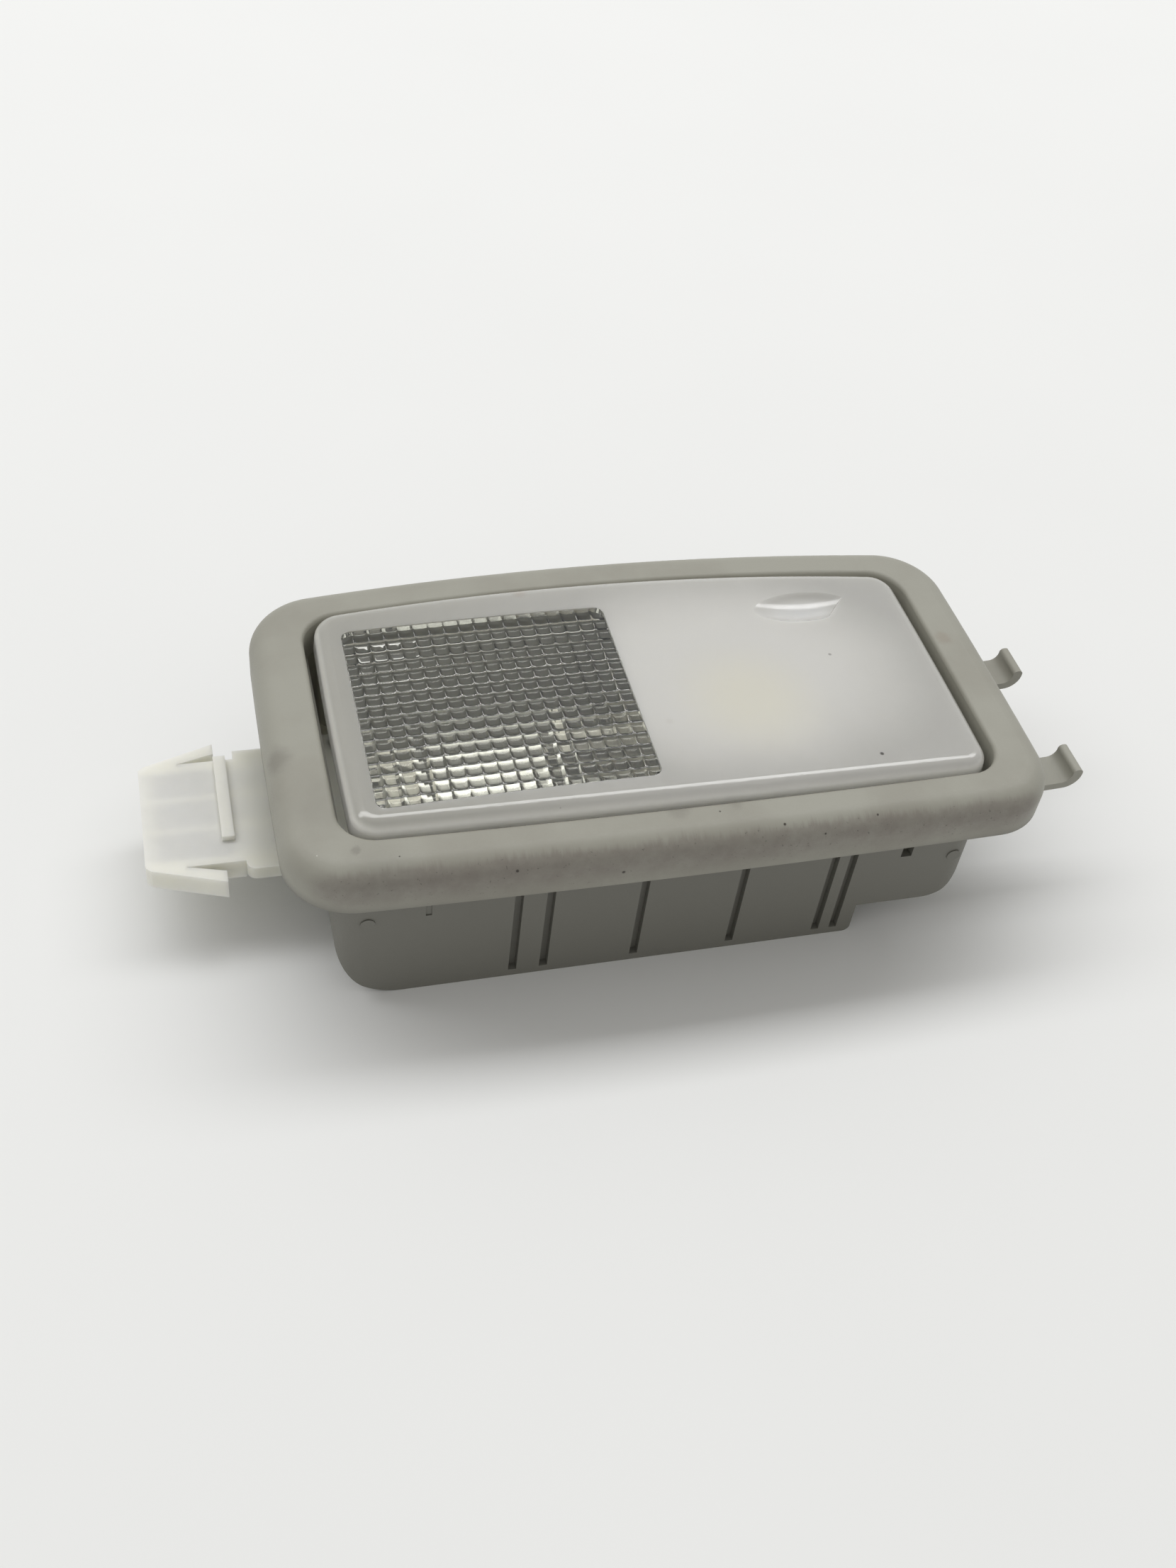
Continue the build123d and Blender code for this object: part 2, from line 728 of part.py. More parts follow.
# Common strip: left bulb clip and the sprung switch leaf under the lens leg
with BuildPart() as contact_common:
    span(clip_left_x - strip, clip_left_x, -clip_half, clip_half, tub_floor, clip_top)
    span(leaf_root - strip, clip_left_x, lane_low, clip_half, tub_floor, tub_floor + strip)
    span(leaf_root - strip, leaf_root, lane_low, lane_high, tub_floor, leaf_height + strip)
    span(leaf_tip, leaf_root, lane_low, lane_high, leaf_height, leaf_height + strip)
    with Locations(Location((clip_left_x, 0, bulb_axis), (0, 90, 0))):
        Cylinder(bulb_nose_diameter / 2 + nose_clearance, 4 * strip, mode=Mode.SUBTRACT)
contact_common.part.label = "contact_common"
export_step(contact_common.part, "parts/contact_common.step")

# Earth strip: blade and the fixed pad below the leaf
with BuildPart() as contact_earth:
    earth_y = -row_pitch
    pad_left = leaf_tip - pad_back
    pad_mid = leaf_tip + pad_step
    span(blade_tip, pad_mid, earth_y - half_strip, earth_y + half_strip, blade_low, blade_high)
    span(pad_left, pad_mid, lane_low, earth_y + half_strip, blade_low, blade_high)
    span(pad_left, leaf_tip + pad_reach, lane_low, lane_high, blade_low, blade_high)
contact_earth.part.label = "contact_earth"
export_step(contact_earth.part, "parts/contact_earth.step")

# Door strip: blade, riser and the fixed arm that the leaf rests against
with BuildPart() as contact_door:
    arm_low = leaf_height + strip
    span(blade_tip, leaf_tip, -half_strip, half_strip, blade_low, blade_high)
    span(leaf_tip - strip, leaf_tip, -half_strip, half_strip, blade_low, arm_low + strip)
    span(leaf_tip - strip, leaf_tip + arm_reach, lane_low, half_strip, arm_low, arm_low + strip)
contact_door.part.label = "contact_door"
export_step(contact_door.part, "parts/contact_door.step")

# Bright reflector tray on the posts behind the bulb
with BuildPart() as reflector:
    low = reflector_height
    high = reflector_height + reflector_rise
    wide = reflector_half + reflector_spread
    with BuildSketch(Plane.YZ.offset(reflector_left)):
        with BuildLine():
            Polyline(
                (-wide, high),
                (-reflector_half, low),
                (reflector_half, low),
                (wide, high),
                (wide, high + reflector_sheet),
                (reflector_half, low + reflector_sheet),
                (-reflector_half, low + reflector_sheet),
                (-wide, high + reflector_sheet),
                close=True,
            )
        make_face()
    extrude(amount=clip_right_x - reflector_left - clip_slot / 2)
    # the left end stops short of the switch, with a slot for the bulb clip
    cut_right = clip_left_x + clip_slot / 2
    cut_x = (reflector_left - 1 + cut_right) / 2
    cut_y = (reflector_front - wide - 1) / 2
    with Locations((cut_x, cut_y, reflector_height)):
        cut_length = cut_right - reflector_left + 1
        Box(cut_length, reflector_front + wide + cut_past, 4 * reflector_rise, mode=Mode.SUBTRACT)
    # the sloped flanks start beside the bulb
    flank_inside = reflector_half - reflector_sheet
    for side in (-1, 1):
        flank_y = side * (flank_inside + wide + 1) / 2
        with Locations(((reflector_left - 1 + reflector_flank_x) / 2, flank_y, reflector_height)):
            flank_length = reflector_flank_x - reflector_left + 1
            Box(flank_length, wide + cut_past - flank_inside, 4 * reflector_rise, mode=Mode.SUBTRACT)
    with Locations((clip_left_x - strip / 2, 0, reflector_height)):
        Box(strip + clip_slot, clip_width + clip_slot, 4 * reflector_sheet, mode=Mode.SUBTRACT)
    for post_x, post_y in post_places:
        with Locations((post_x, post_y, low)):
            Cylinder(peg_diameter / 2 + peg_clearance, 4 * reflector_sheet, mode=Mode.SUBTRACT)
reflector.part.label = "reflector"
export_step(reflector.part, "parts/reflector.step")

# Natural nylon connector: thick nose with two sprung barbs, thin flange in the wall slot
with BuildPart() as connector:
    with BuildSketch(Plane.XY.offset(plug_bottom)):
        with BuildLine():
            Polyline(
                (plug_nose, plug_nose_half - plug_nose_bevel),
                (plug_nose + plug_nose_bevel, plug_nose_half),
                (plug_barb_x, plug_barb_half),
                (plug_barb_x, plug_barb_half - plug_barb_thickness),
                (plug_nose + plug_barb_root, plug_body_half),
                (plug_flange_x, plug_body_half),
                (plug_flange_x, -plug_body_half),
                (plug_nose + plug_barb_root, -plug_body_half),
                (plug_barb_x, -plug_barb_half + plug_barb_thickness),
                (plug_barb_x, -plug_barb_half),
                (plug_nose + plug_nose_bevel, -plug_nose_half),
                (plug_nose, -plug_nose_half + plug_nose_bevel),
                close=True,
            )
        make_face()
    extrude(amount=plug_thickness)
    with BuildSketch(Plane.XY.offset(web_bottom)) as web_plan:
        with BuildLine():
            Polyline(
                (plug_flange_x - plug_web_root, plug_body_half),
                (plug_flange_x, plug_body_half),
                (plug_flange_x, plug_flange_half),
                (shoulder_x, plug_flange_half),
                (shoulder_x, plug_shoulder_half),
                (plug_inner_end, plug_shoulder_half),
                (plug_inner_end, -plug_shoulder_half),
                (shoulder_x, -plug_shoulder_half),
                (shoulder_x, -plug_flange_half),
                (plug_flange_x, -plug_flange_half),
                (plug_flange_x, -plug_body_half),
                (plug_flange_x - plug_web_root, -plug_body_half),
                close=True,
            )
        make_face()
        tips = web_plan.vertices().filter_by(lambda v: abs(v.X - plug_flange_x) < 0.01)
        fillet(tips.filter_by(lambda v: v.Y < -plug_flange_half + 0.01), radius=plug_flange_corner)
    extrude(amount=plug_web)
    rib_x = (plug_barb_x + plug_flange_x) / 2 - plug_rib_back
    rib_left = rib_x - plug_rib_width / 2
    rib_right = rib_x + plug_rib_width / 2
    rib_bottom = plug_top - plug_rib_root
    span(rib_left, rib_right, -plug_rib_front, plug_body_half, rib_bottom, plug_top + plug_rib_height)
    for row_y in (-row_pitch, 0, row_pitch):
        with Locations(((plug_nose + plug_cavity_end) / 2, row_y, (blade_low + blade_high) / 2)):
            pocket = plug_cavity_end - plug_nose + pocket_past
            Box(pocket, plug_cavity_width, plug_cavity_height, mode=Mode.SUBTRACT)
        with Locations(((plug_inner_end + plug_cavity_end) / 2, row_y, (blade_low + blade_high) / 2)):
            blade_slot = plug_inner_end - plug_cavity_end + pocket_past
            Box(blade_slot, strip_width + plug_blade_gap, strip, mode=Mode.SUBTRACT)
    for side in (-1, 1):
        with Locations((plug_peg_x, side * plug_peg_y, web_bottom + plug_web / 2)):
            Cylinder(plug_peg_diameter / 2 + peg_clearance, plug_web + cut_past, mode=Mode.SUBTRACT)
connector.part.label = "connector"
export_step(connector.part, "parts/connector.step")
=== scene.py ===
from math import radians, tan
import bpy
from mathutils import Matrix, Vector


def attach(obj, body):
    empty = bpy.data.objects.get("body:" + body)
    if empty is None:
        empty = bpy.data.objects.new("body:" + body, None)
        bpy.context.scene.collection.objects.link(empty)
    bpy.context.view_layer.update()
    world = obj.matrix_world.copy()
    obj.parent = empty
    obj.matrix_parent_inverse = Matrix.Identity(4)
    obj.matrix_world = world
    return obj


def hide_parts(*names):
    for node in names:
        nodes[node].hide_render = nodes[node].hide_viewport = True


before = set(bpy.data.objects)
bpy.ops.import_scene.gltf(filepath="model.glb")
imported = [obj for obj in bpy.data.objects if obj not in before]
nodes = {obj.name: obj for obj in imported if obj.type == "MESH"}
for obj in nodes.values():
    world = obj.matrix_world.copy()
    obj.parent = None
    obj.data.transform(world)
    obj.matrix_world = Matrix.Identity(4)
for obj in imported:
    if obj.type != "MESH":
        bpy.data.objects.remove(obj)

# Blender's own starting cube, lamp and camera are not wanted
for spare in ("Cube", "Light", "Camera"):
    if spare in bpy.data.objects:
        bpy.data.objects.remove(bpy.data.objects[spare], do_unlink=True)
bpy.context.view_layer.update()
scene = bpy.context.scene
scene.view_settings.view_transform = "Standard"
print("frame loaded,", len(nodes), "CAD nodes")


# Node helpers

def shade(red, green, blue):  # screen colour 0..255 to the linear colour a shader wants
    def linear(level):
        level /= 255.0
        return level / 12.92 if level <= 0.04045 else ((level + 0.055) / 1.055) ** 2.4
    return (linear(red), linear(green), linear(blue), 1.0)


def metres(values):  # millimetres to metres
    return [value / 1000 for value in values]


def startMaterial(name):
    material = bpy.data.materials.new(name)
    material.use_nodes = True
    tree = material.node_tree
    shader = tree.nodes["Principled BSDF"]
    coords = tree.nodes.new("ShaderNodeTexCoord").outputs["Object"]
    return material, tree, shader, coords


def feed(tree, socket, value):  # a link where there is one, else a fixed value
    if isinstance(value, bpy.types.NodeSocket):
        tree.links.new(value, socket)
    else:
        socket.default_value = value


def noise(tree, coords, scale, detail=3.0, rough=0.55, stretch=(1.0, 1.0, 1.0)):
    place = tree.nodes.new("ShaderNodeMapping")
    place.inputs["Scale"].default_value = stretch
    tree.links.new(coords, place.inputs["Vector"])
    node = tree.nodes.new("ShaderNodeTexNoise")
    node.inputs["Scale"].default_value = scale
    node.inputs["Detail"].default_value = detail
    node.inputs["Roughness"].default_value = rough
    tree.links.new(place.outputs["Vector"], node.inputs["Vector"])
    return node.outputs["Fac"]


def band(tree, value, low, high, first=0.0, last=1.0):  # smooth step from low to high
    node = tree.nodes.new("ShaderNodeMapRange")
    node.interpolation_type = "SMOOTHSTEP"
    feed(tree, node.inputs["Value"], value)
    node.inputs["From Min"].default_value = low
    node.inputs["From Max"].default_value = high
    node.inputs["To Min"].default_value = first
    node.inputs["To Max"].default_value = last
    return node.outputs["Result"]


def sums(tree, kind, left, right):
    node = tree.nodes.new("ShaderNodeMath")
    node.operation = kind
    feed(tree, node.inputs[0], left)
    feed(tree, node.inputs[1], right)
    return node.outputs["Value"]


def blendColour(tree, factor, under, over):
    node = tree.nodes.new("ShaderNodeMix")
    node.data_type = "RGBA"
    feed(tree, node.inputs["Factor"], factor)
    feed(tree, node.inputs[6], under)
    feed(tree, node.inputs[7], over)
    return node.outputs[2]


def nearSpot(tree, coords, spot, inner, outer, ragged=None):  # 1 at a spot, 0 away from it
    node = tree.nodes.new("ShaderNodeVectorMath")
    node.operation = "DISTANCE"
    tree.links.new(coords, node.inputs[0])
    node.inputs[1].default_value = metres(spot)
    distance = node.outputs["Value"]
    if ragged is not None:
        distance = sums(tree, "ADD", distance, ragged)
    return band(tree, distance, inner / 1000, outer / 1000, 1.0, 0.0)


def axes(tree, coords):
    node = tree.nodes.new("ShaderNodeSeparateXYZ")
    tree.links.new(coords, node.inputs["Vector"])
    return node.outputs["X"], node.outputs["Y"], node.outputs["Z"]


def grain(tree, shader, height, strength, depth):  # depth in millimetres
    node = tree.nodes.new("ShaderNodeBump")
    node.inputs["Strength"].default_value = strength
    node.inputs["Distance"].default_value = depth / 1000
    tree.links.new(height, node.inputs["Height"])
    tree.links.new(node.outputs["Normal"], shader.inputs["Normal"])


# Grey moulding: bezel, tub and hooks

greyLook = {  # places in millimetres
    "bezel": (154, 153, 143),
    "bezelCloud": (145, 143, 133),
    # painted shade: darker colour of the tub's outer skin below the bezel
    "tub": (117, 116, 109),
    # painted light: lighter colour for the inside of the tub, standing for light that reaches it
    # through the lens
    "inside": (192, 191, 177),
    "insideEnds": (-48.0, 45.0),
    "insideSoft": 1.0,
    "tubSkin": (26.8, 27.5),
    "tubLeft": (-52.0, -51.4),
    "tubRight": (46.4, 47.0),
    "hooksFrom": (48.4, 48.9),
    "tubStep": (29.0, 29.6),
    "tubStepTop": (6.8, 7.4),
    "tubFoot": (0.8, 1.2),
    "leftTurn": (-43.0, 10.0, 8.6, 9.2),
    "rightTurn": (41.3, 12.3, 4.6, 5.2),
    "tubBetween": (21.5, 24.5),
    # real grime mixed with painted shade: colour of the darker band along the bezel's front rounding
    "grimeAndShade": (112, 103, 98),
    "grimeShadeAmount": 0.62,
    "grimeShadeHairs": 1.6,
    "grimeShadePatches": 1.4,
    "grimeShadeMiddle": 1.5,
    "dotAmount": 0.7,
    "grimeShadeFront": (-30.5, -27.5),
    "grimeShadeRise": (22.6, 28.6),
    "grimeShadeFall": (30.2, 31.1),
    "bezelCrown": 1.72,
    "bezelHalf": 60.2,
    "grime": (114, 111, 103),
    "brown": (128, 112, 96),
    "speck": (58, 52, 46),
    "scratch": (205, 204, 196),
    "softSpots": [  # place, inner and outer radius, amount
        ((-58.6, -5.9, 29.2), 0.6, 3.2, 0.5),
        ((-49.8, -26.2, 30.2), 0.2, 0.9, 0.5),
        ((-2.7, -26.4, 31.3), 0.4, 2.4, 0.4),
        ((6.3, -26.3, 31.3), 0.2, 1.6, 0.3),
        ((-52.5, -17.0, 30.0), 2.0, 8.0, 0.22),
        ((-47.0, -29.5, 29.4), 1.5, 7.0, 0.25),
    ],
    "brownSpots": [((53.6, 6.4, 30.0), 0.4, 2.2, 0.32)],
    "spotWobble": 2.2,
    "specks": [  # place and size
        ((-27.8, -32.2, 28.8), 0.24),
        ((-12.1, -32.9, 26.6), 0.26),
        ((12.5, -31.0, 30.8), 0.22),
        ((18.8, -32.4, 29.2), 0.18),
        ((27.4, -30.9, 30.4), 0.18),
        ((-44.0, -28.4, 30.4), 0.14),
        ((3.4, -27.6, 31.4), 0.16),
    ],
    "scratchPlace": ((-55.2, -26.0, 29.8), 0.13),
    "cloudScale": 55.0,
    "mottleScale": 420.0,
    "hairScale": 1100.0,
    "patchScale": 120.0,
    "dotScale": 2300.0,
    "roughness": (0.46, 0.6),
    "grainScale": 4200.0,
    "grainStrength": 0.35,
    "grainDepth": 0.03,
}


def greyFinish():
    look = greyLook
    material, tree, shader, coords = startMaterial("greyMoulding")
    x, y, z = axes(tree, coords)
    cloud = noise(tree, coords, look["cloudScale"], 4.0)
    fine = noise(tree, coords, look["grainScale"], 2.0)
    mottle = noise(tree, coords, look["mottleScale"], 4.0, 0.65)
    clouded = band(tree, cloud, 0.35, 0.7)
    colour = blendColour(tree, clouded, shade(*look["bezel"]), shade(*look["bezelCloud"]))

    def past(value, name, first=0.0, last=1.0):  # smooth step between two named places
        return band(tree, value, *metres(look[name]), first, last)

    def beyondTurn(name, side):  # past the round turn from an end wall to the back
        middleX, middleZ, inner, outer = metres(look[name])
        along = sums(tree, "MULTIPLY", sums(tree, "SUBTRACT", x, middleX), side)
        along = sums(tree, "MAXIMUM", along, 0.0)
        down = sums(tree, "MAXIMUM", sums(tree, "SUBTRACT", middleZ, z), 0.0)
        squares = [sums(tree, "MULTIPLY", leg, leg) for leg in (along, down)]
        return band(tree, sums(tree, "SQRT", sums(tree, "ADD", *squares), 0.0), inner, outer)

    # the outer skin of the tub: long walls, end walls, step, round turns and back face; below the bezel
    # this skin gets painted shade, a darker colour for the shade under the bezel's overhang
    outside = past(sums(tree, "ABSOLUTE", y, 0.0), "tubSkin")
    rightEnd = sums(tree, "MAXIMUM", past(x, "tubRight"), beyondTurn("rightTurn", 1.0))
    rightEnd = sums(tree, "MULTIPLY", rightEnd, past(x, "hooksFrom", 1.0, 0.0))
    rightEnd = sums(tree, "MAXIMUM", rightEnd, past(z, "tubStepTop", 1.0, 0.0))
    rightEnd = sums(tree, "MULTIPLY", rightEnd, past(x, "tubStep"))
    leftEnd = sums(tree, "MAXIMUM", past(x, "tubLeft", 1.0, 0.0), beyondTurn("leftTurn", -1.0))
    for mask in (leftEnd, rightEnd, past(z, "tubFoot", 1.0, 0.0)):
        outside = sums(tree, "MAXIMUM", outside, mask)
    underBezel = past(z, "tubBetween", 1.0, 0.0)
    paintedShadeSkin = sums(tree, "MULTIPLY", underBezel, outside)
    # painted shade: the outer skin below the bezel is painted darker
    colour = blendColour(tree, paintedShadeSkin, colour, shade(*look["tub"]))
    # painted light: the inside of the tub below the bezel is painted lighter
    first, last = metres(look["insideEnds"])
    soft = look["insideSoft"] / 1000
    fromLeft = band(tree, x, first - soft, first)
    toRight = band(tree, x, last, last + soft, 1.0, 0.0)
    paintedLightInside = sums(tree, "MULTIPLY", fromLeft, toRight)
    paintedLightInside = sums(tree, "MULTIPLY", paintedLightInside, underBezel)
    paintedLightInside = sums(tree, "MULTIPLY", paintedLightInside, sums(tree, "SUBTRACT", 1.0, outside))
    colour = blendColour(tree, paintedLightInside, colour, shade(*look["inside"]))

    # band darker along the front rounding, which follows the bezel's crown: real grime mixed with
    # painted shade where the rounding turns down away from the light
    half = look["bezelHalf"] / 1000
    droop = sums(tree, "MULTIPLY", sums(tree, "MULTIPLY", x, x), look["bezelCrown"] / 1000 / half ** 2)
    level = sums(tree, "ADD", z, droop)
    hairs = noise(tree, coords, look["hairScale"], 3.0, 0.6, (1.0, 0.12, 0.12))
    patches = noise(tree, coords, look["patchScale"], 3.0, 0.6, (1.0, 0.3, 0.3))
    hairShift = sums(tree, "MULTIPLY", hairs, look["grimeShadeHairs"] / 1000)
    patchShift = sums(tree, "MULTIPLY", patches, look["grimeShadePatches"] / 1000)
    shift = sums(tree, "ADD", hairShift, patchShift)
    ragged = sums(tree, "SUBTRACT", sums(tree, "ADD", level, shift), look["grimeShadeMiddle"] / 1000)
    rise = past(level, "grimeShadeRise")
    fall = past(ragged, "grimeShadeFall", 1.0, 0.0)
    front = past(y, "grimeShadeFront", 1.0, 0.0)
    grimeShadeBand = sums(tree, "MULTIPLY", sums(tree, "MULTIPLY", rise, fall), front)
    grimeShadeBand = sums(tree, "MULTIPLY", grimeShadeBand, band(tree, mottle, 0.2, 0.75, 0.45, 1.0))
    grimeAndShade = sums(tree, "MULTIPLY", grimeShadeBand, look["grimeShadeAmount"])
    colour = blendColour(tree, grimeAndShade, colour, shade(*look["grimeAndShade"]))
    dots = band(tree, noise(tree, coords, look["dotScale"], 2.0), 0.66, 0.74)
    dots = sums(tree, "MULTIPLY", sums(tree, "MULTIPLY", dots, grimeShadeBand), look["dotAmount"])
    colour = blendColour(tree, dots, colour, shade(*look["speck"]))

    # single smudges, specks and one bright scratch
    wobble = sums(tree, "MULTIPLY", sums(tree, "SUBTRACT", mottle, 0.5), look["spotWobble"] / 1000)
    for names, tint in (("softSpots", "grime"), ("brownSpots", "brown")):
        for spot, inner, outer, amount in look[names]:
            mask = sums(tree, "MULTIPLY", nearSpot(tree, coords, spot, inner, outer, wobble), amount)
            colour = blendColour(tree, mask, colour, shade(*look[tint]))
    for spot, size in look["specks"]:
        mask = nearSpot(tree, coords, spot, 0.5 * size, 1.4 * size)
        colour = blendColour(tree, mask, colour, shade(*look["speck"]))
    spot, size = look["scratchPlace"]
    mask = nearSpot(tree, coords, spot, 0.4 * size, size)
    colour = blendColour(tree, mask, colour, shade(*look["scratch"]))
    tree.links.new(colour, shader.inputs["Base Color"])
    tree.links.new(band(tree, fine, 0.2, 0.8, *look["roughness"]), shader.inputs["Roughness"])
    grain(tree, shader, fine, look["grainStrength"], look["grainDepth"])
    return material


greyPlastic = greyFinish()
print("grey moulding done")


# Milky lens

opalLook = {  # places in millimetres
    "milk": (206, 205, 201),
    # painted light and shade: the lens is painted lighter about a middle spot and darker away from it
    # and toward its left end, standing for light through the translucent lens
    "dimShade": (172, 171, 167),
    "rimShade": (158, 157, 150),
    "paintedGlowPlace": (13.0, 0.5),
    "paintedGlowReach": (34.0, 24.0),
    "rimBetween": (-50.0, 2.0),
    "rimAmount": 0.85,
    # painted light: lighter colour for the lens's side wall
    "skirt": (238, 237, 231),
    "skirtBetween": (0.3, 1.6),
    "lensTop": 32.9,
    "crownRadius": 764.5,
    "restTilt": 0.5,
    "warm": (216, 212, 192),
    "warmPlace": (15.0, -6.0, 32.7),
    "warmReach": (2.0, 15.0),
    "warmAmount": 0.5,
    "speck": (60, 56, 50),
    "brown": (140, 124, 108),
    "specks": [  # place, size, amount
        ((31.84, -20.11, 31.95), 0.34, 1.0),
        ((31.5, 2.93, 31.98), 0.3, 0.45),
        ((-49.2, -3.0, 31.8), 0.2, 0.6),
        ((-20.0, -24.3, 32.3), 0.2, 0.5),
    ],
    "brownSpots": [  # place, inner and outer radius, amount
        ((-16.0, 23.3, 32.6), 0.3, 1.7, 0.3),
        ((0.6, -9.6, 32.89), 0.1, 1.0, 0.08),
    ],
    "cloudScale": 60.0,
    "cloudAmount": 0.3,
    "fineScale": 900.0,
    "roughness": (0.17, 0.27),
    "coat": 0.6,
    "coatRoughness": 0.06,
    "coatBend": 1.55,
    "milkiness": 0.9,
    "soften": 5.0,
    "softenTint": (1.0, 0.98, 0.92),
}


def opalFinish():
    look = opalLook
    material, tree, shader, coords = startMaterial("milkyLens")
    x, y, z = axes(tree, coords)
    cloud = noise(tree, coords, look["cloudScale"], 3.0)
    fine = noise(tree, coords, look["fineScale"], 3.0)
    # painted light: lighter about a middle spot, darker away from it
    squares = []
    for value, place, reach in zip((x, y), metres(look["paintedGlowPlace"]), metres(look["paintedGlowReach"])):
        away = sums(tree, "DIVIDE", sums(tree, "SUBTRACT", value, place), reach)
        squares.append(sums(tree, "MULTIPLY", away, away))
    away = sums(tree, "ADD", *squares)
    away = sums(tree, "ADD", away, sums(tree, "MULTIPLY", cloud, look["cloudAmount"]))
    colour = blendColour(tree, band(tree, away, 0.25, 1.35), shade(*look["milk"]), shade(*look["dimShade"]))
    # painted shade: darker toward the lens's left end
    left, right = metres(look["rimBetween"])
    paintedRimShade = band(tree, x, left, right, look["rimAmount"], 0.0)
    colour = blendColour(tree, paintedRimShade, colour, shade(*look["rimShade"]))

    # the skirt, told by its depth below the crown of the tilted lens, gets painted light: a lighter
    # colour standing for the light the lens's side wall takes in
    droop = sums(tree, "MULTIPLY", sums(tree, "MULTIPLY", x, x), 500 / look["crownRadius"])
    droop = sums(tree, "ADD", droop, sums(tree, "MULTIPLY", x, tan(radians(look["restTilt"]))))
    depth = sums(tree, "SUBTRACT", sums(tree, "SUBTRACT", look["lensTop"] / 1000, droop), z)
    shallow, deep = metres(look["skirtBetween"])
    colour = blendColour(tree, band(tree, depth, shallow, deep), colour, shade(*look["skirt"]))

    # warm middle, brown stains and specks
    warm = nearSpot(tree, coords, look["warmPlace"], *look["warmReach"])
    warm = sums(tree, "MULTIPLY", warm, look["warmAmount"])
    colour = blendColour(tree, warm, colour, shade(*look["warm"]))
    for spot, inner, outer, amount in look["brownSpots"]:
        mask = sums(tree, "MULTIPLY", nearSpot(tree, coords, spot, inner, outer), amount)
        colour = blendColour(tree, mask, colour, shade(*look["brown"]))
    for spot, size, amount in look["specks"]:
        mask = sums(tree, "MULTIPLY", nearSpot(tree, coords, spot, 0.5 * size, 1.3 * size), amount)
        colour = blendColour(tree, mask, colour, shade(*look["speck"]))
    tree.links.new(colour, shader.inputs["Base Color"])
    tree.links.new(band(tree, fine, 0.3, 0.75, *look["roughness"]), shader.inputs["Roughness"])
    shader.inputs["Coat Weight"].default_value = look["coat"]
    shader.inputs["Coat Roughness"].default_value = look["coatRoughness"]
    shader.inputs["Coat IOR"].default_value = look["coatBend"]
    shader.inputs["Subsurface Weight"].default_value = look["milkiness"]
    shader.inputs["Subsurface Scale"].default_value = look["soften"] / 1000
    shader.inputs["Subsurface Radius"].default_value = look["softenTint"]
    return material


opalPlastic = opalFinish()
print("milky lens done")


# Clear window

clearLook = {"tint": (253, 253, 247), "filmScale": 260.0, "roughness": (0.015, 0.06), "bend": 1.49}

clearPlastic, tree, shader, coords = startMaterial("clearWindow")
shader.inputs["Base Color"].default_value = shade(*clearLook["tint"])
film = noise(tree, coords, clearLook["filmScale"], 4.0, 0.6)
tree.links.new(band(tree, film, 0.4, 0.75, *clearLook["roughness"]), shader.inputs["Roughness"])
shader.inputs["IOR"].default_value = clearLook["bend"]
shader.inputs["Transmission Weight"].default_value = 1.0
print("clear window done")


# Window with a small pillow in each cell, which stands for the plain prisms of the CAD node

windowSize = {  # millimetres, from the CAD's named values
    "left": -46.0,
    "right": -3.4,
    "middleY": -1.15,
    "halfWidth": 19.3,
    "corner": 1.6,
    "play": 0.02,
    "pitch": 2.415,
    "firstColumn": -44.0,
    "firstRow": -17.9,
    "columns": 17,
    "rows": 15,
    "cutsPerCell": 8,
    "edgeCuts": (7, 7, 9, 8),
    "pillowAcross": 0.22,
    "pillowAlong": 0.18,
    "flatness": 4.0,
    "lensTop": opalLook["lensTop"],
    "lensHalf": 50.2,
    "pivotHeight": 28.05,
    "restTilt": opalLook["restTilt"],
    "crown": 1.65,
    "thickness": 2.1,
    "edgeDrop": 0.5,
    "edgeNear": 0.05,
    "firstLift": 1.0,
    "weldWithin": 0.002,
    "creaseAngle": 0.5,
}


def fieldMaths(tree):  # short hand for number fields
    def run(kind, *values):
        node = tree.nodes.new("ShaderNodeMath")
        node.operation = kind
        for index, value in enumerate(values):
            feed(tree, node.inputs[index], value)
        return node.outputs["Value"]
    return run


